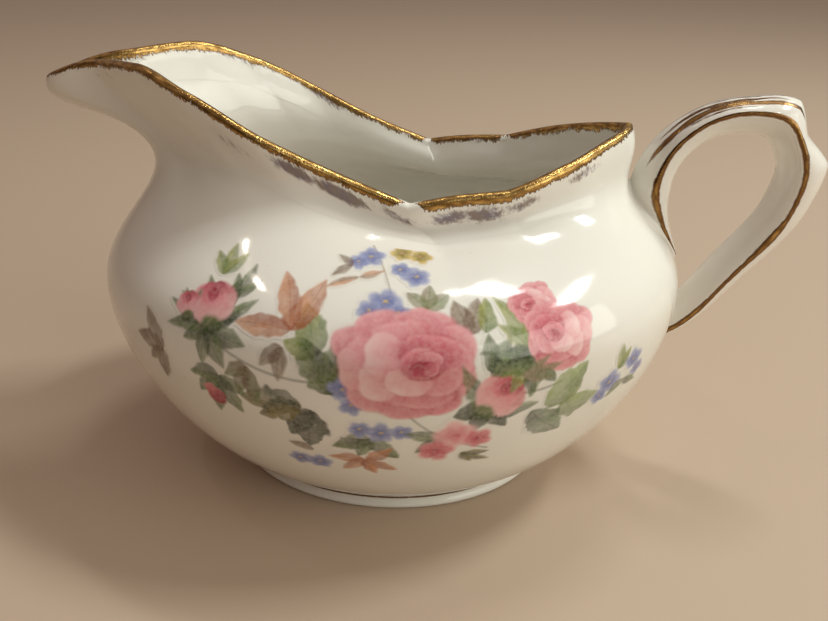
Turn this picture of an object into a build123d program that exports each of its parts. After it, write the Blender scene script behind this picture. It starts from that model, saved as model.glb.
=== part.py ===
from build123d import *
import os
import numpy as np

# Porcelain cream jug, millimetres. +X points to the handle, -X to the spout, +Z up.
# The origin is at the middle of the whole outline, on the surface the foot rests on.
# Sizes below are measured from the centre of the oval body, BODY_X along X.

# ---- driving dimensions ------------------------------------------------------------------
BODY_X = -6.18                 # centre of the oval body
BELLY_A, BELLY_B = 50.0, 41.0  # half length and half width of the belly
BELLY_Z = 36.0                 # height of the widest line
FOOT_A, FOOT_B = 29.6, 24.4    # half length and half width of the foot
FOOT_HEIGHT = 3.4
FOOT_WALL, FOOT_TAPER = 3.6, 0.8 # thickness at its top, and how much thinner at its tread
WALL, LIP = 2.3, 1.7           # thickness of the bowl's wall and of its rim
TIP_THINNING = 0.42            # how much thinner both are at the spout's tip
FLOOR = 3.2                    # thickness of the bottom of the bowl
FLOOR_DRAW_IN = 0.86           # size of the level floor against the wall's lowest line
WALL_FOOT = 0.1                # where up the outside the inner wall starts

# Rim, from the handle corner round one side to the spout tip: X, half width, height.
RIM = [
    (39.4, 0.0, 62.5),
    (36.0, 6.0, 61.0),
    (28.8, 13.1, 58.4),
    (19.8, 17.6, 55.1),
    (12.0, 19.0, 54.4),
    (4.8, 20.1, 53.1),
    (-4.8, 19.9, 56.8),
    (-16.8, 20.6, 62.3),
    (-28.8, 17.9, 68.0),
    (-38.4, 12.5, 71.0),
    (-48.0, 5.6, 70.3),
    (-55.5, 3.5, 68.4),
    (-58.6, 0.0, 66.6),
]
RIM_CUSPS = (3, 5)             # stations where the rim's scallops meet

# Control points of the upright profiles: distance from the body's centre, height.
BELLY_RISE, BELLY_FALL = 12.8, 14.0
FOOT_SPREAD, FOOT_LIFT = 8.0, 3.0
HANDLE_NECK = (35.7, 50.6)
SIDE_NECK = (16.8, 47.3)
SPOUT_NECK = (27.8, 55.1)
HANDLE_FLARE = (2.2, -5.0)     # from the rim's handle corner
SPOUT_FLARE = (-3.0, -7.8)     # from the spout tip
SIDE_FLARE = (-0.4, -3.0)      # from the rim's sides
SPOUT_UNDERSIDE = (6.9, 7.0)   # lifts the throat to a nearly level underside

# Handle, from inside the body's shoulder over the top to inside its belly:
# X and height of its two gilded edges, half width, crown outward, depth inward.
HANDLE = [
    (49.0, 41.8, 2.6, 4.0, 0.3),
    (45.7, 47.4, 4.2, 4.4, 1.6),
    (43.8, 52.2, 4.4, 3.7, 3.2),
    (45.3, 58.9, 4.0, 2.6, 3.4),
    (50.6, 64.3, 3.9, 1.7, 3.6),
    (56.6, 66.1, 4.0, 1.6, 4.1),
    (62.9, 64.8, 4.1, 3.3, 4.2),
    (65.2, 61.7, 4.1, 1.9, 3.7),
    (66.8, 56.9, 4.2, 4.7, 3.4),
    (66.0, 50.4, 4.1, 3.9, 3.5),
    (58.7, 38.2, 3.8, 3.0, 3.6),
    (51.2, 28.2, 3.5, 2.2, 3.6),
    (42.6, 23.4, 3.3, 1.6, 3.2),
]
CROWN_POWER, DEPTH_POWER = 1.35, 1.1     # above 1 sharpens the ridge and the edges
STRAP_SECTIONS = 25                      # the sections the strap is drawn through
UPPER_JOINT, LOWER_JOINT = (0, 6), (20, 24)   # sections that each joint reaches over
SLIP_REACH, SLIP_RISE = 1.5, 1.0         # how far joint slip spreads, and stands up

# Gilding and flower transfers: skins laid on the glaze
SKIN = 0.12                              # thickness
SKIN_GAP, RIM_GAP, FLOWER_GAP = 0.09, 0.18, 0.2
RIM_GOLD = 2.2                           # depth of gold inside and outside the lip
FOOT_LINE = (1.9, 2.7)                   # heights of the line round the foot
EDGE_GOLD = 0.2                          # half angle of the handle's edge lines, radians
EDGE_LINE = (4, 20)                      # sections of the strap that the lines run past
CREST_GOLD = (5, 9)                      # sections under the brushed gold on its top
CREST_TURN = 1.0
AROUND, LINES = 64, 31                   # points in each line round the body, and lines up it
FRONT_FLOWERS = (39, 59), (6, 20)        # points round the body and lines up it that it spans
BACK_FLOWERS = (11, 21), (6, 18)


# ---- curves ------------------------------------------------------------------------------
def smooth(keys, values, at):
    """Shape-keeping cubic through (keys, values), which never overshoots between points."""
    keys, values, at = (np.asarray(v, float) for v in (keys, values, at))
    step = np.diff(keys)
    slope = np.diff(values) / step
    grade = np.zeros_like(values)
    same = slope[:-1] * slope[1:] > 0
    grade[1:-1][same] = 2 / (1 / slope[:-1][same] + 1 / slope[1:][same])
    grade[0], grade[-1] = slope[0], slope[-1]
    return hermite(keys, values, grade, at)


def flowing(keys, values, at):
    """Free-running cubic through (keys, values)."""
    return hermite(keys, values, np.gradient(values, keys), at)


def hermite(keys, values, grade, at):
    step = np.diff(keys)
    i = np.clip(np.searchsorted(keys, at) - 1, 0, len(step) - 1)
    u = (at - keys[i]) / step[i]
    rise = values[i] + u * u * (3 - 2 * u) * (values[i + 1] - values[i])
    return rise + step[i] * u * (1 - u) * ((1 - u) * grade[i] - u * grade[i + 1])


def bezier(points, t):
    """Point on a Bezier curve whose control points are arrays."""
    while len(points) > 1:
        points = [a + (b - a) * t for a, b in zip(points, points[1:])]
    return points[0]


# ---- body surface ------------------------------------------------------------------------
def rim(angle):
    """Outer rim line at an angle, 0 at the handle and 180 degrees at the spout."""
    x, width, height = np.array(RIM).T
    middle, half = (x[0] + x[-1]) / 2, (x[0] - x[-1]) / 2
    key = np.arccos(np.clip((x - middle) / half, -1, 1))
    turn = np.pi - np.abs(np.pi - np.mod(angle, 2 * np.pi))
    across = np.sign(np.pi - np.mod(angle, 2 * np.pi)) * smooth(key, width, turn)
    spans = [slice(0, RIM_CUSPS[0] + 1), slice(RIM_CUSPS[0], RIM_CUSPS[1] + 1),
             slice(RIM_CUSPS[1], len(RIM))]
    places = [turn < key[RIM_CUSPS[0]], turn < key[RIM_CUSPS[1]]]
    up = np.select(places, [smooth(key[s], height[s], turn) for s in spans[:2]],
                   smooth(key[spans[2]], height[spans[2]], turn))
    return np.stack([middle + half * np.cos(angle), across, up], -1)


def body_point(angle, t):
    """Outer surface: t runs 0 to 0.4 from the foot to the belly, and on to 1 at the rim."""
    c, s = np.cos(angle), np.sin(angle)
    t = np.broadcast_to(t, c.shape)[..., None]
    handle, spout = np.clip(c, 0, 1) ** 2, np.clip(-c, 0, 1) ** 2
    side = 1 - handle - spout

    def around(a, b, z):
        return np.stack([a * c, b * s, z + 0 * c], -1)

    start = around(FOOT_A, FOOT_B, FOOT_HEIGHT)
    spread = around(FOOT_A + FOOT_SPREAD, FOOT_B + FOOT_SPREAD * 0.8, FOOT_HEIGHT + FOOT_LIFT)
    below = around(BELLY_A, BELLY_B, BELLY_Z - BELLY_FALL)
    belly = around(BELLY_A, BELLY_B, BELLY_Z)
    above = around(BELLY_A, BELLY_B, BELLY_Z + BELLY_RISE)
    neck_a = np.where(c > 0, HANDLE_NECK[0], SPOUT_NECK[0])
    neck_z = HANDLE_NECK[1] * handle + SIDE_NECK[1] * side + SPOUT_NECK[1] * spout
    neck = around(neck_a, SIDE_NECK[0], neck_z)
    top = rim(angle)
    handle, spout = handle**2, spout**2
    side = 1 - handle - spout
    flare = top + np.stack([
        HANDLE_FLARE[0] * handle + SPOUT_FLARE[0] * spout,
        SIDE_FLARE[0] * side * np.sign(s),
        HANDLE_FLARE[1] * handle + SPOUT_FLARE[1] * spout + SIDE_FLARE[1] * side,
    ], -1)
    lift = np.array([SPOUT_UNDERSIDE[0], 0, SPOUT_UNDERSIDE[1]])
    throat = (neck + flare) / 2 + spout[..., None] * lift
    lower = bezier([start, spread, below, belly], t / 0.4)
    upper = bezier([belly, above, neck, throat, flare, top], (t - 0.4) / 0.6)
    return np.where(t <= 0.4, lower, upper)


def facing(angle, t):
    """Unit normal of the outer surface, and its unit direction towards the rim."""
    d = 1e-3
    up = body_point(angle, np.minimum(t + d, 1)) - body_point(angle, np.maximum(t - d, 0))
    along = body_point(angle + d, t) - body_point(angle - d, t)
    normal = np.cross(along, up)
    size = np.linalg.norm(normal, axis=-1, keepdims=True)
    return normal / size, up / np.linalg.norm(up, axis=-1, keepdims=True)


def offset(angle, t, distance):
    """Points at a distance outside the surface, or inside it where negative."""
    return body_point(angle, t) + facing(angle, t)[0] * distance


def thinning(angle):
    """Share of the full thickness, least at the spout's tip."""
    return 1 - TIP_THINNING * np.clip(-np.cos(angle), 0, 1) ** 8


def within(angle, t, level=0.0):
    """Points on the inner surface, or at a level above it inside the bowl."""
    wall = WALL + (LIP - WALL) * smooth([0, 0.7, 1], [0, 0.2, 1], t)
    return body_point(angle, t) - facing(angle, t)[0] * (wall * thinning(angle) + level)[:, None]


def over_lip(angle, turn, level=0.0):
    """A line over the rounded lip: turn 0 is its outer edge and 1 its inner edge."""
    normal, up = facing(angle, 1.0)
    swing = np.pi * turn
    radius = (LIP / 2 * thinning(angle))[:, None]
    centre = body_point(angle, 1.0) - normal * radius
    return centre + (radius + level) * (np.cos(swing) * normal + np.sin(swing) * up)


def below_rim(angle, drop):
    """Place up the body that lies a drop in millimetres under the rim."""
    reach = body_point(angle, 1.0) - body_point(angle, 0.97)
    return 1 - 0.03 * drop / np.linalg.norm(reach, axis=-1)


# ---- solids from lines -------------------------------------------------------------------
def turns(count=AROUND):
    return np.linspace(0, 2 * np.pi, count, endpoint=False)


def placed(points):
    """Points moved from the body's own centre to the part's frame."""
    return [(x + BODY_X, y, z) for x, y, z in points]


def ring(points):
    """Closed smooth wire through a line of points, evenly paced so that rings match."""
    pace = list(np.linspace(0, 1, len(points) + 1))
    return Wire([Edge.make_spline(placed(points), periodic=True, parameters=pace)])


def oval(a, b, z):
    """A level oval line about the body's centre."""
    angle = turns()
    return np.stack([a * np.cos(angle), b * np.sin(angle), z + 0 * angle], -1)


def skinned(bands, closed=False):
    """Solid whose skin is a chain of bands of lines, each starting where the last ended.
    An open chain is smooth and capped flat at both ends; a closed one is drawn straight
    from line to line and returns to its first line."""
    faces = []
    for band in bands:
        wires = [ring(line) for line in band]
        if closed:
            faces += [Face.make_surface_from_curves(low.edge(), high.edge())
                      for low, high in zip(wires, wires[1:])]
        else:
            faces += Shell.make_loft(wires).faces()
    if not closed:
        faces += [Face(ring(bands[0][0])), Face(ring(bands[-1][-1]))]
    return Solid(Shell(faces))


def layered(top, bottom):
    """Thin closed skin between two chains of bands that run the same way."""
    back = [band[::-1] for band in bottom[::-1]]
    far_edge, near_edge = [top[-1][-1], back[0][0]], [back[-1][-1], top[0][0]]
    return skinned([*top, far_edge, *back, near_edge], closed=True)


def outer_lines(distance=0.0):
    """Lines up the outside of the body, from the foot to the rim."""
    return [offset(turns(), t, distance) for t in np.linspace(0, 1, LINES)]


def filled_body(distance=0.0):
    """The body's outer shape with nothing hollowed out, swelled by a distance."""
    lines = outer_lines(distance)
    base = lines[0] * [1, 1, 0] + [0, 0, FOOT_HEIGHT / 2]
    plug = oval(BELLY_A / 3, BELLY_B / 3, SIDE_NECK[1])
    return skinned([[base, lines[0]], lines, [lines[-1], plug]])


def largest(shape):
    return max(shape.solids(), key=lambda solid: solid.volume)


# ---- sub-parts: body and foot ------------------------------------------------------------
def jug_body():
    """Bowl, neck, flared rim and spout in one wall, with a floor and a rounded lip."""
    lip = [over_lip(turns(), turn) for turn in np.linspace(0, 1, 6)]
    inside = [within(turns(), t) for t in np.linspace(1, WALL_FOOT, 28)]
    floor = inside[-1] * [FLOOR_DRAW_IN, FLOOR_DRAW_IN, 0] + [0, 0, FOOT_HEIGHT + FLOOR]
    return skinned([outer_lines(), lip, inside + [floor]])


def foot_side(z):
    """How far the foot's waisted side draws in at a height."""
    return smooth([0, 0.6, FOOT_HEIGHT / 2, FOOT_HEIGHT], [0.5, 0.1, 0.5, 0], z)


def foot_ring():
    """Oval ring under the bowl, waisted outside and tapered inside, flat where it rests."""
    outside = [oval(FOOT_A - foot_side(z), FOOT_B - foot_side(z), z)
               for z in np.linspace(FOOT_HEIGHT, 0, 7)]
    inside = []
    for z in (-FOOT_HEIGHT, 2 * FOOT_HEIGHT):
        inset = FOOT_WALL - FOOT_TAPER * (1 - z / FOOT_HEIGHT)
        inside.append(oval(FOOT_A - inset, FOOT_B - inset, z))
    return largest(skinned([outside]) - skinned([inside]))


# ---- sub-parts: handle -------------------------------------------------------------------
def handle_frame(s):
    """Edge line's place, outward direction, half width, crown and depth, s from 0 to 1."""
    x, z, *sizes = np.array(HANDLE).T
    run = np.concatenate([[0], np.cumsum(np.hypot(np.diff(x), np.diff(z)))])
    key = run / run[-1]
    spot = np.array([flowing(key, x, s), 0, flowing(key, z, s)])
    d = 1e-3
    lead_x = flowing(key, x, s + d) - flowing(key, x, s - d)
    lead_z = flowing(key, z, s + d) - flowing(key, z, s - d)
    out = np.array([-lead_z, 0, lead_x]) / np.hypot(lead_x, lead_z)
    return spot, out, *(smooth(key, size, s) for size in sizes)


def handle_point(s, turn, level=0.0):
    """Point on the strap: turn 0 is its outer crown, a quarter turn its gilded edge."""
    spot, out, width, crown, depth = handle_frame(s)
    turn = np.asarray(turn)
    c, q = np.cos(turn), np.sin(turn)
    reach = np.where(c > 0, crown, depth) + level
    power = np.where(c > 0, CROWN_POWER, DEPTH_POWER)
    rise = np.sign(c) * np.abs(c) ** power * reach
    across = np.sign(q) * np.abs(q) ** power * (width + level)
    return spot + rise[..., None] * out + across[..., None] * np.array([0, 1, 0])


def strap_places(span):
    """Places along the handle of its sections from one number to another."""
    return np.linspace(0, 1, STRAP_SECTIONS)[span[0]:span[1] + 1]


def handle_strap(span=(0, STRAP_SECTIONS), level=0.0):
    """The handle's strap, untrimmed, between two of its sections."""
    sections = [ring(handle_point(s, turns(28), level)) for s in strap_places(span)]
    return Solid.make_loft(sections)


def joint_slip(strap, body, span):
    """Collar of slip that bonds one end of the handle to the body."""
    collar = handle_strap(span, SLIP_REACH) & filled_body(SLIP_RISE)
    return largest(collar - body - strap)


def strap_skin(span, turn_from, turn_to):
    """Thin skin on the handle between two of its sections and two turns round it."""
    turn = np.linspace(turn_from, turn_to, 7)
    wires = []
    for s in strap_places(span):
        top = placed(handle_point(s, turn, SKIN_GAP + SKIN))
        low = placed(handle_point(s, turn[::-1], SKIN_GAP))
        wires.append(Wire([
            Edge.make_spline(top),
            Edge.make_line(top[-1], low[0]),
            Edge.make_spline(low),
            Edge.make_line(low[-1], top[0]),
        ]))
    return Solid.make_loft(wires)


# ---- sub-parts: gilding and transfers ----------------------------------------------------
def rim_layer(level):
    """Bands of the rim gold: up its outside, over the lip and down its inside."""
    angle = turns()
    drops = np.linspace(0, RIM_GOLD, 4)
    outer = [offset(angle, below_rim(angle, drop), level) for drop in drops[::-1]]
    lip = [over_lip(angle, turn, level) for turn in np.linspace(0, 1, 6)]
    inner = [within(angle, below_rim(angle, drop), level) for drop in drops]
    return [outer, lip, inner]


def rim_gilding():
    return layered(rim_layer(RIM_GAP + SKIN), rim_layer(RIM_GAP))


def foot_layer(level):
    return [[oval(FOOT_A - foot_side(z) + level, FOOT_B - foot_side(z) + level, z)
             for z in np.linspace(*FOOT_LINE, 4)]]


def foot_gilding():
    return layered(foot_layer(SKIN_GAP + SKIN), foot_layer(SKIN_GAP))


def transfer(region):
    """Flower transfer on the glaze, over a region of points round and lines up the body."""
    (start, end), (low, high) = region

    def sheet(level):
        rows = [placed(line[start:end + 1]) for line in outer_lines(level)[low:high + 1]]
        return Face.make_surface_from_array_of_points(rows, tol=0.005)

    top, bottom = sheet(FLOWER_GAP + SKIN), sheet(FLOWER_GAP)
    sides = [Face.make_surface_from_curves(a, b) for a, b in zip(top.edges(), bottom.edges())]
    return Solid(Shell([top, bottom, *sides]))


# ---- assembly ----------------------------------------------------------------------------
def assembly():
    strap, solid_body = handle_strap(), filled_body()
    back, front = ((side * np.pi / 2 - EDGE_GOLD, side * np.pi / 2 + EDGE_GOLD) for side in (1, -1))
    return {
        "jug_body": jug_body(),
        "foot_ring": foot_ring(),
        "handle": largest(strap - solid_body),
        "upper_joint_slip": joint_slip(strap, solid_body, UPPER_JOINT),
        "lower_joint_slip": joint_slip(strap, solid_body, LOWER_JOINT),
        "rim_gilding": rim_gilding(),
        "foot_gilding": foot_gilding(),
        "handle_edge_gilding_back": strap_skin(EDGE_LINE, *back),
        "handle_edge_gilding_front": strap_skin(EDGE_LINE, *front),
        "handle_crest_gilding": strap_skin(CREST_GOLD, -CREST_TURN, CREST_TURN),
        "front_flower_transfer": transfer(FRONT_FLOWERS),
        "back_flower_transfer": transfer(BACK_FLOWERS),
    }


os.makedirs("parts", exist_ok=True)
for name, solid in assembly().items():
    export_step(solid, f"parts/{name}.step")
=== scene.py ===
import math
import bpy
import numpy as np
from mathutils import Matrix, Vector
from mathutils.bvhtree import BVHTree


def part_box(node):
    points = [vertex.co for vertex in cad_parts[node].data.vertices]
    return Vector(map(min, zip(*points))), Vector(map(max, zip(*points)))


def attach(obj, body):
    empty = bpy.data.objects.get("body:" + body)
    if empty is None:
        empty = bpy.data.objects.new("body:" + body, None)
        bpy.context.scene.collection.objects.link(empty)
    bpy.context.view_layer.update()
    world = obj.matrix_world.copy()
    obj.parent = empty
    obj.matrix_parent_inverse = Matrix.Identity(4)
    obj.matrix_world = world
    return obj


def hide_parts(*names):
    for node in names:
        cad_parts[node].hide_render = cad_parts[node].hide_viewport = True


# Porcelain cream jug. Sizes are millimetres about the centre of the oval body, with +X to the
# handle, -X to the spout, -Y to the side with the large spray, and Z from the resting surface.
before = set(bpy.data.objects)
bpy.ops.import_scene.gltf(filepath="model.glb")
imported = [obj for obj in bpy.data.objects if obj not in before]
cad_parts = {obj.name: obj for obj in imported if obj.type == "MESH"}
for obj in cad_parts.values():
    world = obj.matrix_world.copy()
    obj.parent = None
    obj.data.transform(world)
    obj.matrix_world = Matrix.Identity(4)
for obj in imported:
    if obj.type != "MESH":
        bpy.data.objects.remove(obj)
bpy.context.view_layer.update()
MM = 0.001
foot_low, foot_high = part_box("foot_ring")
CENTRE = np.array([(foot_low[0] + foot_high[0]) / 2 / MM, 0, 0])

# ---- driving dimensions ----
BELLY_A, BELLY_B, BELLY_Z = 50.0, 41.0, 36.0
BELLY_T = 0.4                            # share of the way up the outer surface that it lies at
FOOT_A, FOOT_B = 29.6, 24.4
FOOT_HEIGHT, FOOT_WALL, FOOT_TAPER = 3.4, 3.6, 0.9
FOOT_TREAD = 0.45                        # radius of the foot's two lower edges
WALL, LIP = 2.3, 1.7
TIP_THINNING = 0.42
FLOOR = 3.2
FLOOR_DRAW_IN = 0.80                     # size of the level floor against the wall's lowest line
COVE = 3.0                               # how far the wall runs on before it turns into the floor
UNDER_DOME = 0.6                         # rise of the bowl's underside at its middle
WALL_FOOT = 0.1

# Rim, from the handle corner round one side to the spout tip: X, half width, height.
RIM = [
    (39.4, 0.0, 62.5),
    (36.0, 6.0, 61.0),
    (28.8, 13.1, 58.4),
    (19.8, 17.6, 55.1),
    (12.0, 19.0, 54.4),
    (4.8, 20.1, 53.1),
    (-4.8, 19.9, 56.8),
    (-16.8, 20.6, 62.3),
    (-28.8, 17.9, 68.0),
    (-38.4, 12.5, 71.0),
    (-48.0, 5.6, 70.3),
    (-55.5, 3.5, 68.4),
    (-58.6, 0.0, 66.6),
]
RIM_CUSPS = (3, 5)

BELLY_RISE, BELLY_FALL = 12.8, 14.0
FOOT_SPREAD, FOOT_LIFT = 8.0, 3.0
HANDLE_NECK, SIDE_NECK, SPOUT_NECK = (35.7, 50.6), (16.8, 47.3), (27.8, 55.1)
HANDLE_FLARE, SPOUT_FLARE, SIDE_FLARE = (2.2, -5.0), (-3.0, -7.8), (-0.4, -3.0)
SPOUT_UNDERSIDE = (6.9, 7.0)

# Handle, from inside the body's shoulder over the top to inside its belly:
# X and height of its two gilded edges, half width, crown outward, depth inward.
HANDLE = [
    (49.0, 41.8, 2.6, 4.0, 0.3),
    (45.7, 47.4, 4.2, 4.4, 1.6),
    (43.8, 52.2, 4.4, 3.7, 3.2),
    (45.3, 58.9, 4.0, 2.6, 3.4),
    (50.6, 64.3, 3.9, 1.7, 3.6),
    (56.6, 66.1, 4.0, 1.6, 4.1),
    (62.9, 64.8, 4.1, 3.3, 4.2),
    (65.2, 61.7, 4.1, 1.9, 3.7),
    (66.8, 56.9, 4.2, 4.7, 3.4),
    (66.0, 50.4, 4.1, 3.9, 3.5),
    (58.7, 38.2, 3.8, 3.0, 3.6),
    (51.2, 28.2, 3.5, 2.2, 3.6),
    (42.6, 23.4, 3.3, 1.6, 3.2),
]
CROWN_POWER, DEPTH_POWER = 1.35, 1.1
SPUR_STATIONS = (5, 10)                  # stretch of stations whose crown rises in points
HOLLOW = 1.7                             # above 1 hollows the flanks of those points
SUNK = 1.0                               # how deep the handle's ends lie in the wall
UPPER_SPAN, LOWER_SPAN = (0.0, 0.36), (1.0, 0.72)   # stretches that hold the two joints
UPPER_FILLET, LOWER_FILLET = 1.5, 1.7

# Decoration
LIFT = 0.03                              # height of gold and colours above the glaze
FRONT_FLOWERS = (219.4, 331.9), (0.2, 0.667)   # degrees round the body, places up it
BACK_FLOWERS = (61.9, 118.1), (0.2, 0.6)
GOLD_OUTSIDE, GOLD_INSIDE = 7.0, 5.0     # reach of the sponged gold below the lip
# Sponged patches below the rim: degrees round it, half width in degrees, then in
# millimetres the drop below it (less than nothing inside the bowl) and reach, and strength.
RIM_DUST = [
    (253, 9, 3.0, 2.6, 0.60),
    (266, 9, 1.8, 2.6, 1.10),
    (274, 9, 2.2, 3.0, 1.25),
    (284, 8, 2.2, 3.2, 0.85),
    (294, 9, 2.4, 3.0, 1.00),
    (301, 10, 2.6, 3.6, 1.00),
    (309, 9, 2.0, 2.8, 0.80),
    (326, 12, 1.6, 2.4, 0.80),
    (222, 16, 1.6, 2.0, 0.50),
    (60, 30, 1.8, 2.8, 0.80),
    (100, 26, 2.2, 3.2, 1.00),
    (150, 30, 1.8, 2.6, 0.70),
    (148, 26, -3.6, 3.4, 0.85),
    (118, 20, -3.4, 3.0, 0.70),
    (96, 14, -3.2, 2.6, 0.80),
    (62, 30, -2.8, 2.0, 0.55),
    (28, 16, -2.6, 1.6, 0.50),
    (238, 40, -2.8, 2.4, 0.60),
    (300, 40, -2.8, 2.2, 0.55),
]
EDGE_LINE_WIDTH = 0.62                   # half width of the handle's gold lines
EDGE_LINE_TURN = 0.45                    # most that a line bends over the edge, in radians
EDGE_LINE_TIP = 0.45                     # share of its width at the strap's leaf-shaped tip
FOOT_LINE = (2.0, 2.65)

COLUMNS = 320                            # steps round the body's mesh


# ---- curves ----
def hermite(keys, values, grade, at):
    step = np.diff(keys)
    i = np.clip(np.searchsorted(keys, at) - 1, 0, len(step) - 1)
    u = (at - keys[i]) / step[i]
    rise = values[i] + u * u * (3 - 2 * u) * (values[i + 1] - values[i])
    return rise + step[i] * u * (1 - u) * ((1 - u) * grade[i] - u * grade[i + 1])


def smooth(keys, values, at):
    """Shape-keeping cubic through (keys, values), which never overshoots between points."""
    keys, values, at = (np.asarray(v, float) for v in (keys, values, at))
    slope = np.diff(values) / np.diff(keys)
    grade = np.zeros_like(values)
    same = slope[:-1] * slope[1:] > 0
    grade[1:-1][same] = 2 / (1 / slope[:-1][same] + 1 / slope[1:][same])
    grade[0], grade[-1] = slope[0], slope[-1]
    return hermite(keys, values, grade, at)


def flowing(keys, values, at):
    """Free-running cubic through (keys, values)."""
    return hermite(keys, values, np.gradient(values, keys), at)


def peaked(keys, values, at):
    """Runs through (keys, values) with hollow flanks, so that high values stand up as points."""
    i = np.clip(np.searchsorted(keys, at) - 1, 0, len(keys) - 2)
    u = (at - keys[i]) / (keys[i + 1] - keys[i])
    rise = values[i + 1] - values[i]
    return np.where(rise > 0, values[i] + rise * u**HOLLOW, values[i + 1] - rise * (1 - u) ** HOLLOW)


def bezier(points, t):
    """Point on a Bezier curve whose control points are arrays."""
    while len(points) > 1:
        points = [a + (b - a) * t for a, b in zip(points, points[1:])]
    return points[0]


def step_between(low, high, value):
    """Smooth step from 0 at low to 1 at high."""
    u = np.clip((value - low) / (high - low), 0, 1)
    return u * u * (3 - 2 * u)


def unit(vectors):
    return vectors / np.maximum(np.linalg.norm(vectors, axis=-1, keepdims=True), 1e-9)


# ---- body surface ----
def rim_keys():
    x = np.array(RIM)[:, 0]
    middle, half = (x[0] + x[-1]) / 2, (x[0] - x[-1]) / 2
    return middle, half, np.arccos(np.clip((x - middle) / half, -1, 1))


def rim(angle):
    """Outer rim line at an angle, 0 at the handle and 180 degrees at the spout."""
    width, height = np.array(RIM)[:, 1:].T
    middle, half, key = rim_keys()
    turn = np.pi - np.abs(np.pi - np.mod(angle, 2 * np.pi))
    across = np.sign(np.pi - np.mod(angle, 2 * np.pi)) * smooth(key, width, turn)
    spans = [slice(0, RIM_CUSPS[0] + 1), slice(RIM_CUSPS[0], RIM_CUSPS[1] + 1),
             slice(RIM_CUSPS[1], len(RIM))]
    places = [turn < key[RIM_CUSPS[0]], turn < key[RIM_CUSPS[1]]]
    up = np.select(places, [smooth(key[s], height[s], turn) for s in spans[:2]],
                   smooth(key[spans[2]], height[spans[2]], turn))
    return np.stack([middle + half * np.cos(angle), across, up], -1)


def body_point(angle, t):
    """Outer surface: t runs from 0 at the foot over BELLY_T to 1 at the rim."""
    c, s = np.cos(angle), np.sin(angle)
    t = np.broadcast_to(t, c.shape)[..., None]
    handle, spout = np.clip(c, 0, 1) ** 2, np.clip(-c, 0, 1) ** 2
    side = 1 - handle - spout

    def around(a, b, z):
        return np.stack([a * c, b * s, z + 0 * c], -1)

    start = around(FOOT_A, FOOT_B, FOOT_HEIGHT)
    spread = around(FOOT_A + FOOT_SPREAD, FOOT_B + FOOT_SPREAD * 0.8, FOOT_HEIGHT + FOOT_LIFT)
    below = around(BELLY_A, BELLY_B, BELLY_Z - BELLY_FALL)
    belly = around(BELLY_A, BELLY_B, BELLY_Z)
    above = around(BELLY_A, BELLY_B, BELLY_Z + BELLY_RISE)
    neck_a = np.where(c > 0, HANDLE_NECK[0], SPOUT_NECK[0])
    neck_z = HANDLE_NECK[1] * handle + SIDE_NECK[1] * side + SPOUT_NECK[1] * spout
    neck = around(neck_a, SIDE_NECK[0], neck_z)
    top = rim(angle)
    handle, spout = handle**2, spout**2
    side = 1 - handle - spout
    flare = top + np.stack([
        HANDLE_FLARE[0] * handle + SPOUT_FLARE[0] * spout,
        SIDE_FLARE[0] * side * np.sign(s),
        HANDLE_FLARE[1] * handle + SPOUT_FLARE[1] * spout + SIDE_FLARE[1] * side,
    ], -1)
    lift = np.array([SPOUT_UNDERSIDE[0], 0, SPOUT_UNDERSIDE[1]])
    throat = (neck + flare) / 2 + spout[..., None] * lift
    lower = bezier([start, spread, below, belly], t / BELLY_T)
    upper = bezier([belly, above, neck, throat, flare, top], (t - BELLY_T) / (1 - BELLY_T))
    return np.where(t <= BELLY_T, lower, upper)


def facing(angle, t):
    """Unit normal of the outer surface, and its unit direction towards the rim."""
    d = 1e-3
    up = body_point(angle, np.minimum(t + d, 1)) - body_point(angle, np.maximum(t - d, 0))
    along = body_point(angle + d, t) - body_point(angle - d, t)
    return unit(np.cross(along, up)), unit(up)


def offset(angle, t, distance):
    return body_point(angle, t) + facing(angle, t)[0] * distance


def thinning(angle):
    """Share of the full thickness, least at the spout's tip."""
    return 1 - TIP_THINNING * np.clip(-np.cos(angle), 0, 1) ** 8


def within(angle, t, level=0.0):
    """Points on the inner surface, or at a level above it inside the bowl."""
    wall = WALL + (LIP - WALL) * smooth([0, 0.7, 1], [0, 0.2, 1], t)
    inward = wall * thinning(angle) + level
    return body_point(angle, t) - facing(angle, t)[0] * inward[..., None]


def over_lip(angle, turn, level=0.0):
    """A line over the rounded lip: turn 0 is its outer edge and 1 its inner edge."""
    normal, up = facing(angle, 1.0)
    swing = np.pi * turn
    radius = (LIP / 2 * thinning(angle))[..., None]
    centre = body_point(angle, 1.0) - normal * radius
    return centre + (radius + level) * (np.cos(swing) * normal + np.sin(swing) * up)


def below_rim(angle, drop):
    """Place up the body that lies a drop in millimetres under the rim."""
    reach = body_point(angle, 1.0) - body_point(angle, 0.97)
    return 1 - 0.03 * drop / np.linalg.norm(reach, axis=-1)


# ---- handle surface ----
def handle_run():
    """Distance along the handle of each of its stations."""
    x, z = np.array(HANDLE)[:, :2].T
    return np.concatenate([[0], np.cumsum(np.hypot(np.diff(x), np.diff(z)))])


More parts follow.
